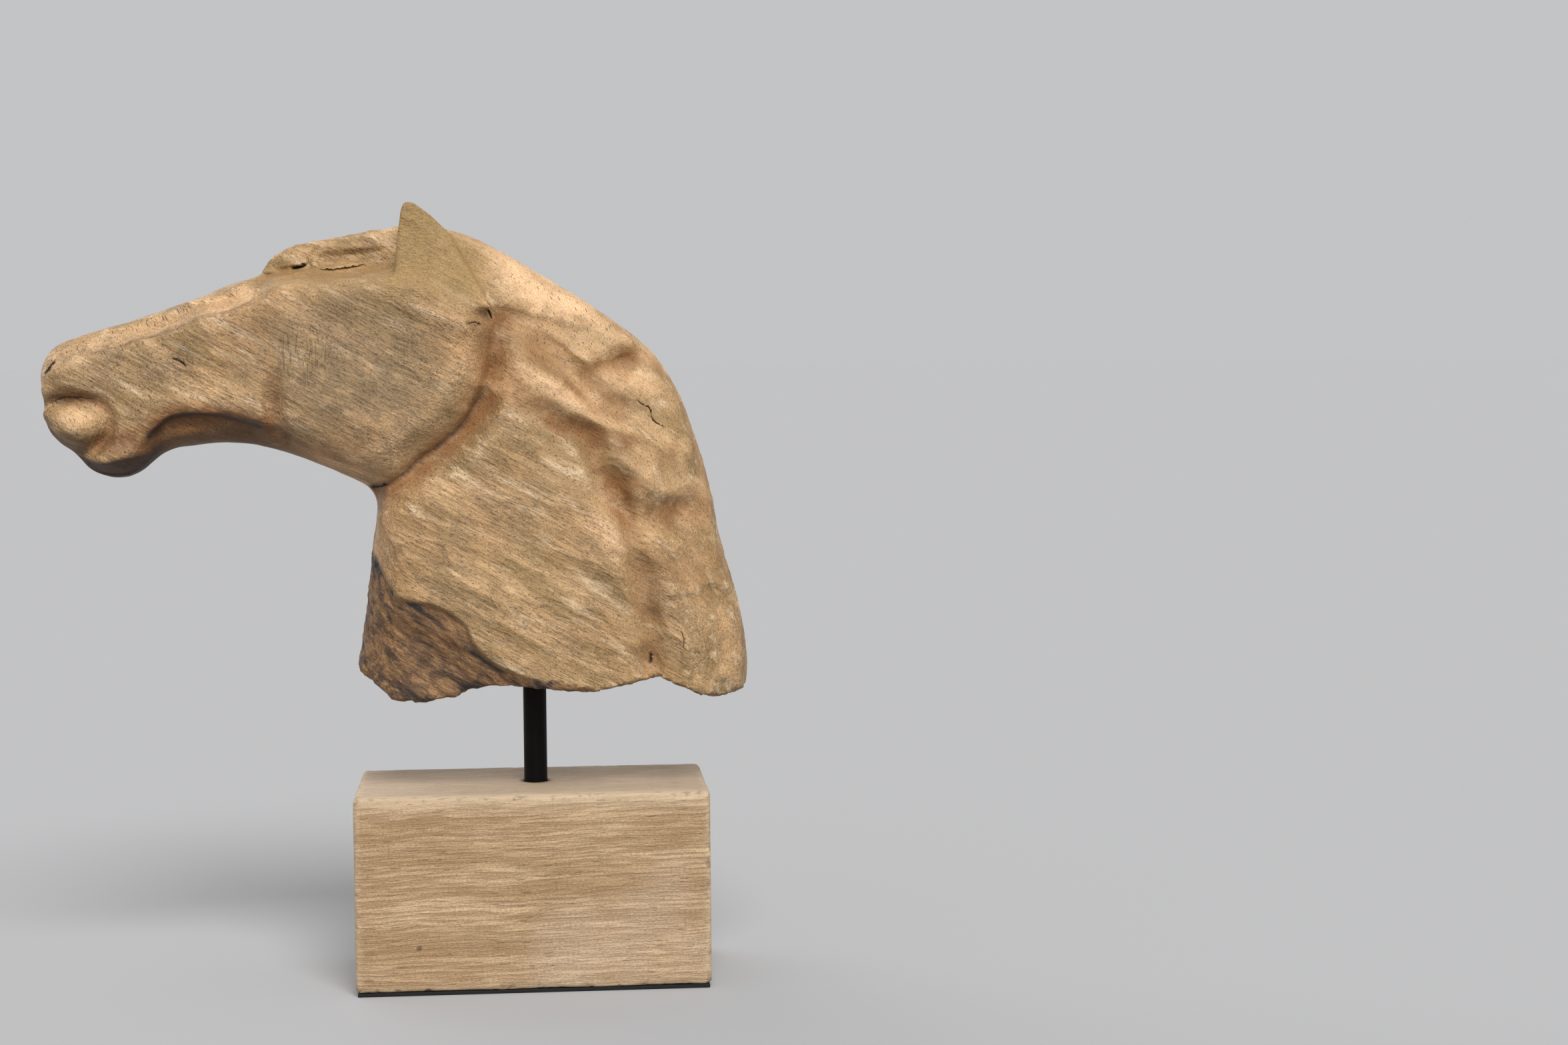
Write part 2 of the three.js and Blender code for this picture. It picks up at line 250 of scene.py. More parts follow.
def driftwood():
    """The head: tan wood with sloping grain and dark pores, stained and weathered by its masks, which also
    paint light and shade into it.
    """
    finish = Finish("driftwood")
    rust_and_shade, broken, grey, honey_and_light = finish.channels("zones")
    crack_shade, olive, steep, painted_shade = finish.channels("marks")
    sawn, rasped, inky, plain = finish.channels("cuts")
    lying = finish.shifted(finish.turned(GRAIN_SLOPE, 20), 4 * MM)
    level = finish.shifted(finish.turned(GRAIN_SLOPE - 1, 5), 1.8 * MM)
    standing = finish.shifted(finish.turned(CREST_SLOPE, 32), 4 * MM)
    tearing = finish.shifted(finish.turned(TORN_SLOPE), 14 * MM)
    knife_way = finish.shifted(finish.turned(KNIFE_SLOPE), 5 * MM)

    coarse_pores = (pores(finish, lying, 9 * MM, 1.05 * MM, 0.2, 0.9) * (1 - steep)
                    + pores(finish, standing, 6.5 * MM, 1.25 * MM, 0.23, 0.9) * steep)
    fine_pores = pores(finish, lying, 8 * MM, 0.85 * MM, 0.22, 0.7)
    crowd = finish.streaks(level, 0.5, 55, 4.0, 0.6, 0.42, 0.62)
    fibre = finish.streaks(level, 0.16, 1500, 2.0, 0.6, 0.3, 0.7)
    streak = finish.streaks(level, 0.16, 520, 3.0, 0.65, 0.34, 0.66)
    band = finish.streaks(level, 0.12, 75, 5.0, 0.62, 0.36, 0.62)
    cream = finish.streaks(level, 0.16, 150, 4.0, 0.6, 0.52, 0.68)
    checks = finish.streaks(level, 0.05, 800, 2.0, 0.6, 0.58, 0.66)
    rasp_lines = finish.streaks(finish.place, 0.09, 1500, 1.0, 0.5, 0.42, 0.62) * rasped
    upright = finish.noise(finish.stretched(finish.place, (1, 1, 0.07)), 1000, 1.0)
    saw_lines = finish.between(upright, 0.57, 0.66) * sawn
    speckle = finish.between(finish.noise(finish.place, 1300, 1.0, 0.6), 0.3, 0.7)
    torn = finish.noise(finish.stretched(tearing, (0.1, 1, 1)), 230, 4.0, 0.65)
    broad = finish.noise(finish.place, 14, 2.0, 0.55)
    blotch = finish.noise(finish.place, 60, 4.0, 0.62)
    cut, facet_light_and_shade, _ = finish.cells(finish.stretched(knife_way, (0.6, 1, 0.9)), 68.0)
    knifed = (1 - grey * 0.85) * (1 - broken)

    colour = finish.mix(band, TAN, KHAKI)
    colour = finish.mix(finish.between(broad, 0.48, 0.68) * 0.6, colour, ROSY)
    colour = finish.mix(cream * 0.6, colour, CREAM)
    # painted light over the pale wood on the crest, ridges, nose strip, lip and cheek rim
    colour = finish.mix(honey_and_light * (band * 0.25 + 0.75), colour, LIT_HONEY)
    colour = finish.mix(grey * finish.between(blotch, 0.2, 0.65), colour, WEATHERED)
    colour = finish.mix(olive, colour, OLIVE)
    colour = finish.mix(finish.between(blotch, 0.5, 0.7) * 0.5, colour, UMBER)
    # rust stains beside the jaw and down the neck, and painted shade in the grooves, hollows and channel
    colour = finish.mix(rust_and_shade * finish.between(blotch, 0.2, 0.56), colour, RUST_AND_SHADE)
    # painted shade, near black, in the creases, under the chin and on surfaces facing down
    colour = finish.mix(painted_shade, colour, PAINTED_SHADE_DARK)
    colour = finish.mix(broken, colour, torn_wood(finish, torn, blotch, inky))

    grained = (fibre * 0.32 + streak * 0.28 - 0.62) * (crowd * 0.5 + 0.65)
    shade = grained * (1 - olive * 0.6) * (1 - plain * 0.6) - plain * 0.14 + speckle * 0.4
    # each chisel facet made a little lighter or darker: painted light and shade on the facets
    shade = shade + facet_light_and_shade * knifed * 0.16 - saw_lines * 0.4 - rasp_lines * 0.16
    colour = finish.shaded(colour, shade - checks * (1 - olive) * (1 - plain) * 0.26 + 1.03)
    colour = finish.mix(fine_pores * (1 - olive * 0.7) * 0.5, colour, PORE)
    colour = finish.mix(coarse_pores * (crowd * 0.2 + 0.65) * (1 - olive * 0.8), colour, PORE)
    # painted shade, near black, inside the cracks and the nostril
    colour = finish.mix(crack_shade, colour, CRACK_SHADE_DARK)

    height = (streak * (0.6 - plain * 0.4) - coarse_pores * 0.9 - saw_lines * 0.6 - rasp_lines * 0.3
              + torn * broken + cut ** 2.0 * knifed * 5.0)
    return finish.finish(colour, 0.62 + fibre * 0.12 - honey_and_light * 0.08, height, 0.6 * MM, 0.9)


BLOCK_BROWN = (0.36, 0.225, 0.11, 1)
BLOCK_PALE = (0.58, 0.405, 0.24, 1)
BLOCK_LINE = (0.28, 0.165, 0.078, 1)
BLOCK_GREYED = (0.52, 0.40, 0.28, 1)
BLOCK_DUST = (0.42, 0.335, 0.25, 1)
BLOCK_WORN = (0.58, 0.44, 0.285, 1)
BLOCK_PORE = (0.16, 0.09, 0.045, 1)
BLOCK_MARK = (0.10, 0.06, 0.03, 1)


def pale_wood():
    """The block: light wood with long fine brown lines that waver along X."""
    finish = Finish("pale_wood")
    worn, dark, dusty = finish.channels("wear")[:3]
    lines = finish.shifted(finish.turned(BLOCK_SLOPE), 2 * MM)
    grain = finish.between(finish.noise(finish.stretched(lines, (0.06, 0.6, 1)), 560, 4.0, 0.68), 0.36, 0.64)
    wide = finish.between(finish.noise(finish.stretched(lines, (0.1, 0.5, 1)), 90, 4.0, 0.6), 0.3, 0.7)
    tone = finish.noise(finish.place, 12, 3.0)
    speckle = finish.streaks(finish.place, 0.5, 1400, 1.0, 0.5, 0.3, 0.7)
    dashes = pores(finish, lines, 14 * MM, 1.2 * MM, 0.22, 0.5)
    colour = finish.mix(wide, BLOCK_BROWN, BLOCK_PALE)
    colour = finish.mix(grain * 0.8, colour, BLOCK_LINE)
    colour = finish.mix(finish.between(tone, 0.5, 0.7) * 0.4, colour, BLOCK_GREYED)
    colour = finish.shaded(colour, speckle * 0.36 + 0.86)
    colour = finish.mix(dusty * 0.6, colour, BLOCK_DUST)
    colour = finish.mix(worn * 0.5, colour, BLOCK_WORN)
    colour = finish.mix(dashes * 0.6, colour, BLOCK_PORE)
    # the knot, the nicks along the edges, and painted shade around the bore
    colour = finish.mix(dark, colour, BLOCK_MARK)
    return finish.finish(colour, 0.66 + grain * 0.1, wide * 0.1 - grain * 0.9 - dashes * 0.4, 0.4 * MM, 0.8)


def black_steel():
    """The rod: satin black paint with faint smears up and down it."""
    finish = Finish("black_steel")
    speckle = finish.noise(finish.place, 1500, 3.0)
    smear = finish.noise(finish.stretched(finish.place, (1, 1, 0.3)), 120, 3.0)
    black, rubbed = (0.004, 0.0034, 0.0032, 1), (0.008, 0.0065, 0.006, 1)
    finish.feed(finish.shader.inputs["Specular IOR Level"], 0.1)
    colour = finish.mix(finish.between(smear, 0.45, 0.75), black, rubbed)
    return finish.finish(colour, 0.42 + smear * 0.16, speckle, 0.05 * MM, 0.3)


def black_felt():
    """The pad: matt black with a short fuzz."""
    finish = Finish("black_felt")
    fuzz = finish.noise(finish.place, 2500, 4.0, 0.7)
    colour = finish.mix(fuzz, (0.004, 0.004, 0.004, 1), (0.012, 0.012, 0.013, 1))
    return finish.finish(colour, 0.9 + fuzz * 0.1, fuzz, 0.3 * MM, 0.7)


# ---- meshes ----

def mesh_from(bm, name):
    """A named mesh holding the bmesh, which is freed."""
    mesh = bpy.data.meshes.new(name)
    bm.to_mesh(mesh)
    bm.free()
    return mesh


def new_piece(name, mesh, material):
    """An object for the drawn part, riding on the one body, with its material in its one slot."""
    piece = bpy.data.objects.new(name, mesh)
    bpy.context.scene.collection.objects.link(piece)
    mesh.materials.clear()
    mesh.materials.append(material)
    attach(piece, "root")
    return piece


def refined(mesh, chosen, cuts):
    """Cuts the edges whose two ends are both chosen into smaller ones."""
    bm = bmesh.new()
    bm.from_mesh(mesh)
    bm.verts.ensure_lookup_table()
    edges = [edge for edge in bm.edges if chosen[edge.verts[0].index] and chosen[edge.verts[1].index]]
    bmesh.ops.subdivide_edges(bm, edges=edges, cuts=cuts, use_grid_fill=True)
    bmesh.ops.triangulate(bm, faces=[face for face in bm.faces if len(face.verts) > 4])
    bm.to_mesh(mesh)
    bm.free()
    mesh.shade_smooth()


def remeshed(node, voxel):
    """A CAD node's copy, its loose triangles joined, remade as an even skin of small quads."""
    bm = bmesh.new()
    bm.from_mesh(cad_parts[node].data)
    bmesh.ops.remove_doubles(bm, verts=bm.verts, dist=1e-6)
    mesh = mesh_from(bm, node + "_skin")
    working = bpy.data.objects.new("working", mesh)
    bpy.context.scene.collection.objects.link(working)
    skin = working.modifiers.new("skin", "REMESH")
    skin.mode = "VOXEL"
    skin.voxel_size = voxel
    graph = bpy.context.evaluated_depsgraph_get()
    result = bpy.data.meshes.new_from_object(working.evaluated_get(graph))
    bpy.data.objects.remove(working)
    bpy.data.meshes.remove(mesh)
    result.shade_smooth()
    return result


def points_of(mesh):
    """The mesh's points in millimetres."""
    flat = np.empty(len(mesh.vertices) * 3)
    mesh.vertices.foreach_get("co", flat)
    return flat.reshape(-1, 3) / MM


def normals_of(mesh):
    """The direction the skin faces at each point."""
    flat = np.empty(len(mesh.vertices) * 3)
    mesh.vertices.foreach_get("normal", flat)
    return flat.reshape(-1, 3)


def place_points(mesh, points):
    """Moves the mesh's points to new places, given in millimetres."""
    mesh.vertices.foreach_set("co", (points * MM).ravel())
    mesh.update()


def smoothed(mesh, points, hold, rounds):
    """Evens the points out without shrinking; hold is 1 where they stay and 0 where they're free."""
    ends = np.empty(len(mesh.edges) * 2, int)
    mesh.edges.foreach_get("vertices", ends)
    first, second = ends[0::2], ends[1::2]
    count = len(points)
    joined = np.bincount(first, minlength=count) + np.bincount(second, minlength=count)
    free = (1 - hold)[:, None]
    for turn in range(rounds * 2):
        total = np.stack([np.bincount(first, points[second, axis], count)
                          + np.bincount(second, points[first, axis], count) for axis in range(3)], 1)
        points = points + free * (0.55 if turn % 2 == 0 else -0.57) * (total / joined[:, None] - points)
    return points


def add_zones(mesh, name, channels):
    """Up to four masks, held at the points as a colour attribute for the material to read."""
    values = np.ones((len(mesh.vertices), 4))
    values[:, :len(channels)] = np.clip(np.stack(channels, 1), 0, 1)
    layer = mesh.color_attributes.new(name, "FLOAT_COLOR", "POINT")
    layer.data.foreach_set("color", values.astype(np.float32).ravel())


def ease(low, high, value):
    """0 at low, 1 at high, eased in between; low may be above high."""
    share = np.clip((value - low) / (high - low), 0, 1)
    return share * share * (3 - 2 * share)


def rounded_line(points, steps=4):
    """A smooth curve through given points."""
    p = np.array(points, float)
    padded = np.vstack([2 * p[0] - p[1], p, 2 * p[-1] - p[-2]])
    out = []
    for i in range(len(p) - 1):
        a, b, c, d = padded[i:i + 4]
        for t in np.arange(steps) / steps:
            out.append(0.5 * (2 * b + (c - a) * t + (2 * a - 5 * b + 4 * c - d) * t * t
                              + (3 * b - a - 3 * c + d) * t ** 3))
    return np.vstack([out, p[-1]])


def along_line(points, x, z, reach):
    """Distance below (+) or above (-) a line that runs left to right, and the share of the way along it.
    Points further off than reach get a large distance."""
    line = rounded_line(points)
    near = ((x > line[:, 0].min() - reach) & (x < line[:, 0].max() + reach)
            & (z > line[:, 1].min() - reach) & (z < line[:, 1].max() + reach))
    nx, nz = x[near], z[near]
    best = np.full(nx.shape, 1e6)
    signed = np.full(nx.shape, 1e6)
    share = np.zeros(nx.shape)
    spans = np.hypot(*np.diff(line, axis=0).T)
    before = np.concatenate([[0], np.cumsum(spans)])
    for i, span in enumerate(spans):
        ax, az = line[i]
        dx, dz = (line[i + 1] - line[i]) / span
        t = np.clip((nx - ax) * dx + (nz - az) * dz, 0, span)
        px, pz = nx - ax - t * dx, nz - az - t * dz
        distance = np.hypot(px, pz)
        closer = distance < best
        best = np.where(closer, distance, best)
        signed = np.where(closer, np.where(dz * px - dx * pz >= 0, distance, -distance), signed)
        share = np.where(closer, (before[i] + t) / before[-1], share)
    whole, parts = np.full(x.shape, 1e6), np.zeros(x.shape)
    whole[near], parts[near] = signed, share
    return whole, parts


def distance_below(line, x, z, reach):
    """How far points in side view lie below (+) or above (-) one of the carved lines."""
    return along_line(line[0], x, z, reach)[0]


def oval(x, z, centre_x, centre_z, along, across, tilt=0, hard=0):
    """1 inside a tilted oval in side view, out to the hard share of its radii, easing to 0 at its rim."""
    c, s = math.cos(math.radians(tilt)), math.sin(math.radians(tilt))
    u, v = (x - centre_x) * c + (z - centre_z) * s, (z - centre_z) * c - (x - centre_x) * s
    return 1 - ease(hard, 1, np.hypot(u / along, v / across))


def ovals(table, x, z):
    """A table of ovals laid over each other, the last number of each being its strength."""
    return sum(strength * oval(x, z, *place) for *place, strength in table)


def taper(share, amount):
    """1 along a line, easing to 0 at its two ends over that share of it."""
    return ease(0, amount, share) * ease(0, amount, 1 - share) if amount else 1.0


# ---- carving of the head ----

# Gouged lines in side view, millimetres: points, half width above and below, depth, end taper, far share.
GOUGES = {
    "jaw": ([(-90, 269), (-77, 272.5), (-67, 277), (-57, 286), (-46, 294), (-35, 303.5), (-26, 317),
             (-20, 330), (-18, 343), (-17, 357)], 4, 12, 3.0, 0.1, 1),
    "nose_crack": ([(-195, 365), (-182, 369), (-173, 371), (-156, 375)], 0.9, 0.9, 1.2, 0.3, 0),
    "forelock_crack": ([(-137, 387), (-122, 388), (-116, 389), (-110, 386), (-97, 387), (-83, 390),
                        (-70, 393)], 2.2, 1.6, 3.2, 0.06, 0.8),
    "lock_split": ([(-104, 403), (-111, 398), (-115, 393), (-115, 388)], 1.8, 2.2, 2.2, 0.15, 0.5),
    "nick_one": ([(-49, 278), (-42, 274), (-35, 272)], 2.2, 2.4, 1.6, 0.35, 0),
    "nick_two": ([(-68, 261), (-61, 257)], 1.6, 1.6, 1.1, 0.4, 0),
    "foot_scratch": ([(76, 184), (92, 180), (108, 180)], 1.2, 1.2, 0.6, 0.3, 0),
    "foot_line": ([(73, 169), (87, 166), (102, 163), (114, 162)], 1.0, 1.0, 0.8, 0.2, 0),
}

# Flutes, the same with a round bottom and crisp edges.
FLUTES = {
    "mouth_ring": ([(-252, 316), (-247, 319.5), (-239, 319.5), (-229, 318), (-222, 313), (-220.5, 306),
                    (-222, 300), (-227, 294), (-233, 291)], 5, 5, 2.8, 0.12, 0.8),
    "nose_strip": ([(-228, 348.5), (-214, 352.5), (-197, 358), (-177, 363.5), (-160, 369), (-148, 375)],
                   5, 5.5, 2.4, 0.12, 0.8),
    "scoop": ([(-133, 331), (-133.5, 318), (-132, 306), (-127, 297), (-118, 287)], 6.5, 6.5, 2.6, 0.25, 0),
    "mane_foot": ([(44, 268), (52, 250), (58, 232), (61, 212), (64, 190), (66, 166)], 8, 7, 2.2, 0.12, 0.5),
    "mane_lower": ([(32, 300), (38, 281), (48, 265), (62, 252), (74, 248)], 9, 9, 3.0, 0.2, 0.5),
    "mane_upper": ([(-6, 354), (14, 341), (28, 327), (42, 313), (62, 306)], 9, 10, 5.0, 0.2, 0.5),
}

# Ledges: the surface drops over a wall just below the line and comes back over a run:
# points, depth, wall, run, end taper, far share.
LEDGES = {
    "jaw_channel": ([(-200, 300), (-196, 305), (-189, 310), (-177, 312), (-164, 311), (-151, 308),
                     (-141, 305)], 4.6, 2.2, 16, 0.12, 0.7),
    "crest_low": ([(-18, 372), (-9, 368), (0, 365), (12, 362), (26, 358), (38, 352)], 2.6, 5, 26, 0.25, 0.3),
    "lock_edge": ([(-147, 384), (-138, 386.5), (-122, 388), (-116, 389), (-110, 386), (-97, 387),
                   (-83, 390), (-70, 393)], 3.4, 1.4, 11, 0.05, 0.8),
    "lock_fold": ([(-114, 392), (-110, 397), (-106, 398.5), (-91, 399.5), (-73, 400.5)],
                  2.6, 5, 13, 0.1, 0.8),
    "hollow": ([(22, 330), (29, 338), (38, 343.5), (50, 348), (62, 347), (74, 340)], 4.8, 10, 38, 0.3, 0.4),
    "ridge_low": ([(4, 324), (20, 314), (32, 309), (44, 305), (58, 300), (72, 295)], 3.6, 8, 26, 0.3, 0.4),
    "ridge_two": ([(44, 289), (52, 284), (61, 278), (70, 267), (80, 265), (96, 266)], 2.6, 6, 20, 0.3, 0.4),
    "lobe": ([(70, 210), (78, 213), (90, 213), (95, 217), (102, 216), (110, 211), (116, 208)],
             2.2, 3.0, 30, 0.15, 0.3),
    "break_edge": ([(-88, 240), (-82, 235), (-76, 224), (-69, 214), (-62, 212), (-49, 209), (-40, 204),
                    (-33, 197), (-28, 186), (-17, 177), (-5, 171), (8, 168)], 2.6, 1.8, 26, 0.1, 0),
}

# Edges below which the surface turns away: points, slope, most depth, end taper, far share.
TURNS = {
    "lip_under": ([(-256, 312), (-252, 310), (-247, 303), (-244, 301), (-239, 297), (-234, 297)],
                  0.9, 5, 0.1, 0.8),
    "chin_under": ([(-233, 288.5), (-224, 285), (-216, 287), (-202, 289), (-197, 292)], 1.0, 6, 0.1, 0.8),
}

# Raised or hollow ovals: centre x and z, radii along and across, tilt in degrees, height, far share.
SWELLINGS = {
    "lip": (-239, 306, 11, 8.5, 0, 1.8, 0.8),
    "nose_scoop": (-213, 337, 24, 11, 15, -1.1, 0),
    "lock_front": (-124, 395, 12, 5, 20, 1.2, 0.8),
    "lock_back": (-92, 400, 26, 8, 6, 3.0, 0.8),
    "right_scoop": (82, 256, 16, 11, 0, -1.2, 0.5),
    "bright_rise": (90, 222, 22, 12, 0, 1.2, 0.3),
    "cheek_flat": (-100, 330, 45, 30, -10, -0.6, 0.5),
    "neck_swell": (-10, 290, 26, 40, 35, 1.0, 0.5),
    "neck_dip": (15, 225, 30, 26, 20, -1.0, 0.5),
}

# Open cracks and the nostril: points, half width, depth, far share, darkness of the painted shade inside.
CRACKS = {
    "nostril": ([(-249, 342), (-249.6, 339), (-252, 335), (-255.2, 331)], 1.1, 3.2, 1, 0.9),
    "nose_chip": ([(-188, 341), (-182, 339), (-178, 335)], 0.8, 1.4, 0, 0.9),
    "forelock_slit": ([(-126, 388), (-120, 389), (-116, 391)], 1.1, 3.0, 0, 1),
    "forelock_gap": ([(-113, 387.5), (-104, 387), (-93, 388.3), (-83, 390.2)], 0.6, 2.0, 1, 0.8),
    "ear_slit": ([(-21, 366.5), (-19, 363), (-17.6, 359.5)], 0.7, 1.8, 0, 1),
    "ear_crack": ([(-32, 357.5), (-27, 358.3), (-23, 356)], 0.5, 1.2, 0, 0.9),
    "mane_crack": ([(57, 320), (60, 315), (66, 311.5), (68, 305), (73, 302), (75, 297)], 0.45, 1.4, 0, 1),
    "foot_crack": ([(80, 194), (82, 188), (81, 182)], 0.6, 1.0, 0, 0.8),
    "groove_knot": ([(64, 182), (64.5, 178), (64, 174)], 1.2, 1.4, 0, 0.9),
    "throat_crack": ([(-86, 270.5), (-80, 271), (-72, 273.5)], 0.8, 1.6, 1, 0.9),
    "mouth_line": ([(-254, 316), (-246, 320), (-238, 320.6), (-230, 319.6), (-224, 316)],
                   0.6, 0.9, 0.6, 0.6),
}


SOFT_WALL = 5             # a ledge's wall from this width up is rolled, not sharp
TURN_REACH = 22           # how far below such an edge the surface keeps turning away, millimetres
OFF_LINE = 1e5            # distances above this mean that the line is out of reach


def depth_of_carving(x, z, wander, far):
    """How deep every cut goes at points in side view, in millimetres, and how dark the painted shade inside
    the cracks is.
    """
    depth = np.zeros(x.shape)
    crack_shade = np.zeros(x.shape)
    for roundness, lines in ((1, GOUGES), (2, FLUTES)):
        for points, above, below, deep, end, far_share in lines.values():
            signed, share = along_line(points, x, z, max(above, below))
            across = np.minimum(np.abs(signed) / np.where(signed > 0, below, above), 1)
            depth += deep * (far_share if far else 1) * (1 - across ** roundness) * taper(share, end)
    for points, deep, wall, run, end, far_share in LEDGES.values():
        signed, share = along_line(points, x, z, run)
        fall = ease(0, wall, signed) if wall >= SOFT_WALL else np.clip(signed / wall, 0, 1)
        fall = fall * (1 - ease(wall, run, signed))
        depth += deep * (far_share if far else 1) * fall * taper(share, end)
    for points, slope, most, end, far_share in TURNS.values():
        signed, share = along_line(points, x, z, TURN_REACH)
        fall = np.where(signed > OFF_LINE, 0, np.clip(signed * slope, 0, most))
        depth += (far_share if far else 1) * fall * taper(share, end)
    for *place, height, far_share in SWELLINGS.values():
        depth -= height * (far_share if far else 1) * oval(x, z, *place)
    for points, width, deep, far_share, darkness in CRACKS.values():
        signed, share = along_line(points, x, z, width * 3)
        amount = far_share if far else 1
        ragged = width * (1 + 0.7 * wander)
        inside = np.clip(1 - np.abs(signed + wander * 0.5) / ragged, 0, 1) * taper(share, 0.3)
        depth += deep * amount * inside
        crack_shade = np.maximum(crack_shade, darkness * amount * ease(0.15, 0.7, inside))
    return depth, crack_shade


def chisel_marks(points, size, seed):
    """Shallow overlapping scoops with sharp edges between them, 0 in each middle to 1 at the edges."""
    rng = np.random.default_rng(seed)
    turn = math.radians(GRAIN_SLOPE)
    u = (points[:, 0] * math.cos(turn) + points[:, 2] * math.sin(turn)) / (size * 1.5)
    v = (points[:, 2] * math.cos(turn) - points[:, 0] * math.sin(turn)) / size
    w = points[:, 1] / (size * 1.6)
    here = np.stack([u, v, w], 1)
    cell = np.floor(here).astype(int)
    table = rng.random((16, 16, 16, 3))
    best = np.full(len(points), 9.0)
    for step in np.ndindex(3, 3, 3):
        corner = cell + np.array(step) - 1
        i, j, k = (corner % 16).T
        middle = corner + table[i, j, k]
        best = np.minimum(best, ((here - middle) ** 2).sum(1))
    return np.clip(best, 0, 1)


def rough_field(points, stretch, size, seed):
    """Fractal noise at each point, about -1 to 1, stretched along the grain."""
    turn = math.radians(LUMP_SLOPE)
    u = (points[:, 0] * math.cos(turn) + points[:, 2] * math.sin(turn)) / stretch
    v = points[:, 2] * math.cos(turn) - points[:, 0] * math.sin(turn)
    offset = seed * 17.3
    return np.array([noise.fractal(Vector((a / size + offset, b / size, c / size)), 0.6, 2.1, 3)
                     for a, b, c in zip(u, points[:, 1], v)])


HEAD_VOXEL = 1.9 * MM
FINE_REACH = 3.5          # how far from a carved line the skin is made finer, millimetres
FINEST_REACH = 2.6        # the same around a crack
SMOOTHING_ROUNDS = 20
EAR_FOOT_Z = 370
EAR_TIP_Z = 424
EAR_FRONT_X, EAR_BACK_X = -72, -20
EAR_MIDDLE_Y = 24
JAW_REACH = 20            # how far from the jaw's line its colours spread, millimetres
FOOT_POINTS = ((-110, 172.6), (-93.5, 172.3), (-81, 163.5), (-74, 156.4), (-57.3, 156), (-40.8, 158.8),
               (-26, 163.9), (-9.5, 164.6), (12.7, 162.8), (34.8, 161), (55.7, 165.6), (68, 168), (79, 164),
               (90.7, 157.4), (101, 155.4), (114, 156), (135, 161))
ROD_LOW, ROD_HIGH = (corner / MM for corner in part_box("rod"))
ROD_X = (ROD_LOW.x + ROD_HIGH.x) / 2
ROD_RADIUS = (ROD_HIGH.x - ROD_LOW.x) / 2
BORE_RADIUS = ROD_RADIUS + 0.6

# Ovals of colour: centre x and z, radii along and across, tilt in degrees, hard share, strength.
# partly rust stains, partly painted shade under the chin, below the ridges and in the scoops
RUST_AND_SHADE_OVALS = (
    (84, 256, 26, 17, 0, 0, 0.7), (-20, 345, 14, 26, 0, 0, 0.3), (-212, 296, 27, 11, 0, 0.3, 1),
    (-20, 320, 18, 26, 0, 0, 0.3), (8, 310, 22, 13, -35, 0, 0.45), (90, 225, 30, 22, 0, 0, 0.45),
    (55, 275, 16, 22, 0, 0, 0.4),
)
# painted shade under the chin
PAINTED_SHADE_OVALS = ((-214, 296, 26, 11, 0, 0, 0.4),)
GREY_OVALS = (
    (-95, 330, 75, 55, -10, 0.3, 1), (-200, 336, 44, 24, 0, 0, 0.5), (-235, 330, 30, 24, 0, 0, 0.4),
    (-60, 380, 60, 22, 0, 0.2, 0.3),
)
# painted light on the crest, the ridges, the lip and the cheek's lower rim
HONEY_AND_LIGHT_OVALS = (
    (10, 378, 62, 24, -33, 0.2, 0.9), (-236, 310, 18, 12, 0, 0, 0.45), (-72, 291, 24, 12, 0, 0, 0.6),
    (40, 250, 18, 34, 0, 0, 0.4), (-232, 338, 26, 16, 0, 0, 0.4), (60, 335, 30, 40, -40, 0, 0.35),
    (24, 319, 52, 8, -27, 0.2, 0.9), (64, 277, 24, 7, -38, 0, 0.6),
)
SAWN_OVALS = ((-118, 343, 30, 26, 0, 0, 1), (-60, 345, 22, 12, 0, 0, 0.5))
PLAIN_OVALS = ((92, 225, 30, 28, 0, 0, 1),)


def foot_height(x):
    """Height of the broken foot's under edge."""
    return np.interp(x, *np.array(FOOT_POINTS).T)


def clear_of_rod(points):
    """Pushes the walls of a bore out to a clean round hole."""
    dx, dy = points[:, 0] - ROD_X, points[:, 1]
    radius = np.hypot(dx, dy) + 1e-6
    inside = (radius < BORE_RADIUS + 0.9) & (points[:, 2] < ROD_HIGH.z - 1) & (points[:, 2] > ROD_LOW.z + 1)
    grow = np.where(inside, BORE_RADIUS / radius, 1)
    points = points.copy()
    points[:, 0] = ROD_X + dx * grow
    points[:, 1] = dy * grow
    return points


def near_lines(points, groups, reach):
    """Which points of the finely carved side lie close to any line of the groups."""
    x, y, z = points.T
    found = np.zeros(len(points), bool)
    for group in groups:
        for line in group.values():
            found |= np.abs(distance_below(line, x, z, reach)) < reach
    return found & (y < -2)


def ear_sides(x, y):
    """1 out at the two ears, in front of their back edges."""
    return ease(EAR_BACK_X + 6, EAR_BACK_X, x) * ease(15, 19, np.abs(y))


def ear_share(x, y, z):
    """1 on the ears, easing to 0 at their feet."""
    rise = ease(EAR_FOOT_Z - 6, EAR_FOOT_Z + 6, z)
    return rise * ease(EAR_FRONT_X - 4, EAR_FRONT_X, x) * ear_sides(x, y)


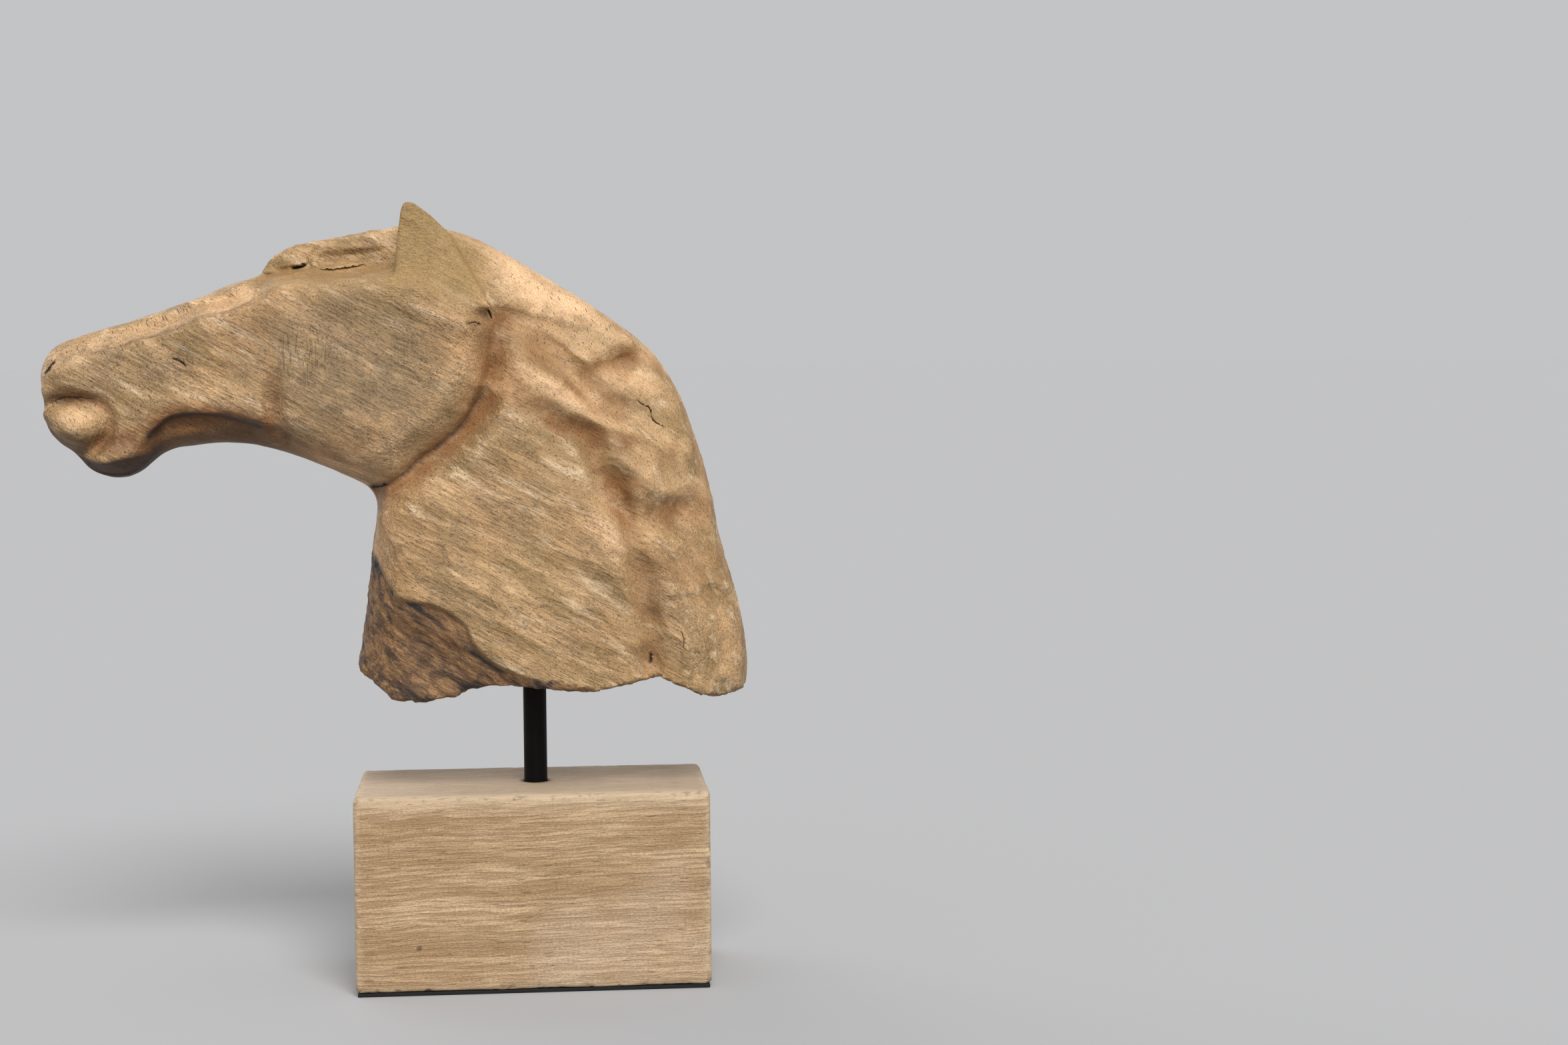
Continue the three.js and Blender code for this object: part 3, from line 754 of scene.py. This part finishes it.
def relaxed(mesh, ear):
    """The points with the voxel steps smoothed out, the forelock's end blunted and the ear tips thinned."""
    points = points_of(mesh)
    x, y, z = points.T
    foot = ease(6, 2, np.abs(z - foot_height(x)))
    tail = ease(104, 112, x) * ease(215, 195, z)
    points = smoothed(mesh, points, np.maximum(ear * 0.93, np.maximum(foot, tail) * 0.85), SMOOTHING_ROUNDS)
    blunt = ease(11, 3, np.hypot(points[:, 0] + 140, points[:, 2] - 393))
    points[:, 0] -= blunt * ease(384, 388, points[:, 2]) * 3
    tip = ease(EAR_FOOT_Z + 12, EAR_TIP_Z, points[:, 2]) * ease(13, 16, np.abs(y))
    thick = np.abs(points[:, 1]) - EAR_MIDDLE_Y
    points[:, 1] -= np.sign(points[:, 1]) * thick * tip * 0.7
    return points


def carving(points):
    """Depth of the cuts and darkness of the painted shade in the cracks, the far side's cuts being fewer and
    shallower.
    """
    x, y, z = points.T
    wander = rough_field(points, 1, 2.2, 7)
    near_depth, near_crack_shade = depth_of_carving(x, z, wander, False)
    far_depth, far_crack_shade = depth_of_carving(x, z, wander, True)
    side = ease(-5, 5, y)
    return near_depth * (1 - side) + far_depth * side, near_crack_shade * (1 - side) + far_crack_shade * side


def torn_share(x, y, z, below_break, normals):
    """1 where the neck's near corner is torn off, and under the broken foot."""
    corner = ease(-0.5, 2.5, below_break) * (below_break < OFF_LINE) * (z < 242) * (z > 140) * ease(6, -6, y)
    under = ease(0.35, 0.75, -normals[:, 2]) * ease(26, 10, z - foot_height(x))
    return np.maximum(corner, under * 0.9)


def knife_depth(points, x, z, facing, ear, broken):
    """Depth of the chisel marks, the torn fibres and the slow lumps, measured along the normals."""
    marks = chisel_marks(points, 19, 3)
    torn = rough_field(points, 4, 5, 1)
    lumps = rough_field(points, 1.6, 16, 2)
    calm = ease(-140, -120, x) * ease(-30, -45, x) * ease(290, 300, z)
    nose = ease(-150, -175, x)
    lively = np.clip(0.3 + ease(-20, 30, x + (z - 300) * 0.35) + nose, 0, 1) * (1 - 0.8 * calm)
    depth = (0.8 - marks * (2.6 + 1.2 * nose)) * lively * (1 - ear) * (1 - broken)
    depth = depth * (0.3 + 0.7 * ease(0.1, 0.5, facing))
    return depth + broken * torn * 1.1 + lumps * 0.45 * (1 - ear)


def rust_and_shade_share(x, z, hollow):
    """Rust red, partly stain and partly painted shade: rust under the jaw and in stains down the neck,
    painted shade in the grooves, the hollows and the jaw's channel.
    """
    jaw = distance_below(GOUGES["jaw"], x, z, JAW_REACH)
    mane_foot = distance_below(FLUTES["mane_foot"], x, z, 20)
    scoop = distance_below(FLUTES["scoop"], x, z, 9)
    channel = distance_below(LEDGES["jaw_channel"], x, z, 16)
    mane_lower = distance_below(FLUTES["mane_lower"], x, z, 16)
    mouth = distance_below(FLUTES["mouth_ring"], x, z, 10)
    arc = distance_below(LEDGES["hollow"], x, z, 22)
    valley = distance_below(LEDGES["ridge_low"], x, z, 20)
    around_jaw = (ease(12, 2, -jaw) * (jaw < 0) * ease(-75, -45, x) * 0.55
                  + ease(15, 4, jaw) * (jaw > 0) * 0.9 + ease(4, 0, np.abs(jaw)) * 0.3)
    # painted shade in and above the jaw's channel, in the carved hollows and along the grooves
    around_channel = (ease(-2, 1.5, channel) * ease(20, 12, channel) * 0.95
                      + ease(-10, -1, channel) * (channel < 0))
    in_hollows = (ease(0.8, 4, hollow) * 0.5 + ease(0, 5, arc) * ease(20, 8, arc) * 0.35
                  + ease(0, 4, valley) * ease(18, 7, valley) * 0.5)
    in_grooves = (ease(11, 3, np.abs(mane_foot)) * 0.35 + ease(7, 5, np.abs(scoop)) * 0.4
                  + ease(9, 1, np.abs(mane_lower)) * 0.25 + ease(6, 1, np.abs(mouth)) * 0.25)
    return around_jaw + around_channel + in_hollows + in_grooves + ovals(RUST_AND_SHADE_OVALS, x, z)


def painted_shade_share(points, x, z, normals):
    """Painted shade, near black: in the channel, beside the nose strip, in the jaw's groove, on surfaces
    facing down and under the chin.
    """
    channel = distance_below(LEDGES["jaw_channel"], x, z, 16)
    strip = distance_below(FLUTES["nose_strip"], x, z, 9)
    jaw = distance_below(GOUGES["jaw"], x, z, JAW_REACH)
    chin = distance_below(TURNS["chin_under"], x, z, 30)
    in_channel = ease(-0.8, 0.5, channel) * ease(2.6, 1.0, channel) * 0.5
    beside_strip = ease(1.1, 0.2, np.abs(strip - 5.2)) * 0.4
    in_jaw = ease(2.6, 0.4, np.abs(jaw)) * (0.45 + 0.5 * rough_field(points, 2, 9, 4)) * ease(350, 310, z)
    underneath = ease(0.25, 0.8, -normals[:, 2]) * ease(230, 250, z) * ease(-95, -150, x) * 0.7
    under_chin = ease(-2.5, 2, chin) * (chin < OFF_LINE) * ease(-194, -204, x) * 0.9
    return in_channel + beside_strip + in_jaw + underneath + under_chin + ovals(PAINTED_SHADE_OVALS, x, z)


def honey_and_light_share(x, z):
    """Pale honey wood with painted light: along the nose strip, on the crest, the ridges, the lip and the
    cheek's lower rim.
    """
    strip = distance_below(FLUTES["nose_strip"], x, z, 9)
    return ease(6, 3.5, np.abs(strip)) * 0.45 + ovals(HONEY_AND_LIGHT_OVALS, x, z)


def olive_share(points, x, y, z):
    """Smooth dull green brown: the ears' faces and the brow in front of them."""
    upper = ease(362, 380, z + rough_field(points, 2, 12, 8) * 5) * ease(-8, -32, x)
    brow = ease(376, 381, z) * ease(392, 386, z) * ease(-150, -142, x)
    return np.maximum(ease(EAR_FRONT_X - 16, EAR_FRONT_X + 4, x) * ear_sides(x, y), brow * 0.7) * upper


def plain_share(x, z):
    """Wood without fibre lines: the mane, the jaw's groove, the groove at the mane's foot."""
    mane = ease(-6, 12, x + (z - 300) * 0.2) * ease(262, 290, z + x * 0.3)
    at_foot = ease(15, 6, np.abs(distance_below(FLUTES["mane_foot"], x, z, 20)))
    at_jaw = ease(13, 4, np.abs(distance_below(GOUGES["jaw"], x, z, JAW_REACH)))
    grooves = np.maximum(at_foot, at_jaw) * 0.8
    return np.maximum(np.maximum(mane, grooves), ovals(PLAIN_OVALS, x, z))


def inky_share(x, z, below_break, broken):
    """The blackened rim of the torn corner."""
    along_break = ease(1, 2.5, below_break) * ease(9, 4, below_break)
    along_foot = ease(8, 2, np.abs(z - foot_height(x))) * (x < 10) * 0.7
    return np.maximum(along_break, along_foot) * (broken > 0.5)


def carved_head():
    """The head: carved from the side, cut with chisel marks, torn at the foot, coloured by its masks."""
    mesh = remeshed("horse_head", HEAD_VOXEL)
    refined(mesh, near_lines(points_of(mesh), (GOUGES, LEDGES, TURNS, CRACKS), FINE_REACH), 1)
    refined(mesh, near_lines(points_of(mesh), (CRACKS,), FINEST_REACH), 2)
    ear = ear_share(*points_of(mesh).T)
    smooth = relaxed(mesh, ear)
    place_points(mesh, smooth)
    normals = normals_of(mesh)
    x, y, z = smooth.T
    facing = np.abs(normals[:, 1])

    hollow, crack_shade = carving(smooth)
    points = smooth.copy()
    points[:, 1] -= np.sign(normals[:, 1]) * hollow * ease(0.05, 0.45, facing)
    below_break = distance_below(LEDGES["break_edge"], x, z, 120)
    broken = torn_share(x, y, z, below_break, normals)
    points = points - normals * knife_depth(points, x, z, facing, ear, broken)[:, None]
    points = clear_of_rod(points)
    place_points(mesh, points)

    rust_and_shade, grey, honey_and_light = rust_and_shade_share(x, z, hollow), ovals(GREY_OVALS, x, z), honey_and_light_share(x, z)
    olive, painted_shade = olive_share(points, x, y, z), painted_shade_share(points, x, z, normals)
    steep = np.maximum(ease(-8, 6, x) * ease(318, 350, z), ease(-165, -185, x))
    sawn, rasped = ovals(SAWN_OVALS, x, z), ear * ease(-42, -52, x)
    add_zones(mesh, "zones", (rust_and_shade, broken, grey, honey_and_light))
    add_zones(mesh, "marks", (crack_shade, olive, steep, painted_shade))
    add_zones(mesh, "cuts", (sawn, rasped, inky_share(x, z, below_break, broken), plain_share(x, z)))
    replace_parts(new_piece("carved_head", mesh, driftwood()), "horse_head")


# ---- stand ----

BLOCK_VOXEL = 1.3 * MM
EDGE_WEAR = 5             # how far from an edge of the block the rubbing reaches, millimetres
FRONT_WEAR = 14           # the same for the dull strip along its front top edge
KNOT = (-61, 26, 1.6, 1.6, 0, 0.4)      # an oval on its front: centre, radii, tilt, hard share


def wood_block():
    """The block, its edges rubbed and nicked, bored for the rod."""
    mesh = remeshed("base_block", BLOCK_VOXEL)
    points = points_of(mesh)
    points = smoothed(mesh, points, np.full(len(points), 0.3), 3)
    low, high = (np.array(corner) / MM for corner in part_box("base_block"))
    x, y, z = points.T
    first, second = np.sort(np.minimum(points - low, high - points), 1)[:, :2].T
    front_top = ease(FRONT_WEAR, 0, high[2] - z) * ease(FRONT_WEAR, 0, y - low[1])
    wander = rough_field(points, 3, 14, 5)
    chips = rough_field(points, 1.5, 4, 6)
    inward = (low + high) / 2 - points
    inward[:, 0] *= 0.2
    inward /= np.linalg.norm(inward, axis=1)[:, None]
    edge = ease(EDGE_WEAR, 0, second) * ease(EDGE_WEAR, 0, first)
    wear = edge * (0.35 + 0.5 * front_top + 0.35 * wander) + edge * ease(0.25, 0.6, chips) * 0.7
    points = points + inward * np.clip(wear, 0, None)[:, None]
    place_points(mesh, clear_of_rod(points))
    # a darker ring on the top around the bore: painted shade where the rod enters
    bore_shade = ease(3.0, 0.5, np.hypot(x - ROD_X, y) - BORE_RADIUS) * (z > high[2] - 2)
    dark = oval(x, z, *KNOT) * (y < 0) + bore_shade * 0.8 + edge * ease(0.3, 0.6, chips) * 0.5
    dusty = ease(high[2] - 2.5, high[2] - 0.5, z)
    add_zones(mesh, "wear", (edge + front_top, dark, dusty))
    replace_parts(new_piece("wood_block", mesh, pale_wood()), "base_block")


def round_rod():
    """The rod, its two rims rounded a little."""
    low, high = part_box("rod")
    bm = bmesh.new()
    bmesh.ops.create_cone(bm, cap_ends=True, segments=96, radius1=ROD_RADIUS * MM, radius2=ROD_RADIUS * MM,
                          depth=high.z - low.z)
    rims = [edge for edge in bm.edges if abs(edge.verts[0].co.z - edge.verts[1].co.z) < 1e-7]
    bmesh.ops.bevel(bm, geom=rims, offset=0.6 * MM, affect="EDGES", segments=3, profile=0.5, material=-1)
    bmesh.ops.translate(bm, verts=bm.verts, vec=(ROD_X * MM, 0, (low.z + high.z) / 2))
    mesh = mesh_from(bm, "round_rod")
    mesh.shade_smooth()
    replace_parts(new_piece("round_rod", mesh, black_steel()), "rod")


def soft_pad():
    """The thin pad under the block."""
    low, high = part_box("felt_pad")
    bm = bmesh.new()
    bmesh.ops.create_cube(bm, size=1)
    bmesh.ops.scale(bm, verts=bm.verts, vec=high - low)
    bmesh.ops.translate(bm, verts=bm.verts, vec=(low + high) / 2)
    bmesh.ops.bevel(bm, geom=bm.edges[:], offset=0.5 * MM, affect="EDGES", segments=3, profile=0.5,
                    material=-1)
    mesh = mesh_from(bm, "soft_pad")
    mesh.shade_smooth()
    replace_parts(new_piece("soft_pad", mesh, black_felt()), "felt_pad")


# ---- stage ----

FLOOR_RADIUS = 30         # metres, far enough that its edge is never seen
FLOOR_GREY = (0.385, 0.385, 0.389, 1)
SKY_GREY = (0.545, 0.548, 0.556, 1)
KEY_PLACE, KEY_POWER, KEY_SPREAD = (0.3, -1.5, 1.95), 3.1, math.radians(30)
BACK_PLACE, BACK_POWER, BACK_SPREAD = (-1.2, 1.6, 1.3), 0.9, math.radians(60)


def add_stage():
    """A wide matt floor."""
    bm = bmesh.new()
    bmesh.ops.create_circle(bm, cap_ends=True, segments=96, radius=FLOOR_RADIUS)
    mesh = mesh_from(bm, "floor")
    floor = bpy.data.objects.new("floor", mesh)
    bpy.context.scene.collection.objects.link(floor)
    paint = Finish("pale_floor")
    paint.feed(paint.shader.inputs["Specular IOR Level"], 0.0)
    mesh.materials.append(paint.finish(FLOOR_GREY, 1.0))


def add_light(name, kind, place, aim, power, **settings):
    """A light at a place in metres, turned towards its aim."""
    data = bpy.data.lights.new(name, kind)
    data.energy = power
    for key, value in settings.items():
        setattr(data, key, value)
    light = bpy.data.objects.new(name, data)
    light.location = place
    light.rotation_euler = (Vector(aim) - Vector(place)).to_track_quat("-Z", "Y").to_euler()
    bpy.context.scene.collection.objects.link(light)


def add_lights():
    """Soft light from the front and above, a weaker one from behind, and an even pale surround."""
    aim = (0, 0, 0.25)
    add_light("key", "SUN", KEY_PLACE, aim, KEY_POWER, angle=KEY_SPREAD)
    add_light("back", "SUN", BACK_PLACE, aim, BACK_POWER, angle=BACK_SPREAD)
    world = bpy.data.worlds.new("studio")
    world.use_nodes = True
    world.node_tree.nodes["Background"].inputs["Color"].default_value = SKY_GREY
    world.node_tree.nodes["Background"].inputs["Strength"].default_value = 1.0
    bpy.context.scene.world = world
    bpy.context.scene.view_settings.view_transform = "Standard"


add_camera()
carved_head()
wood_block()
round_rod()
soft_pad()
add_stage()
add_lights()
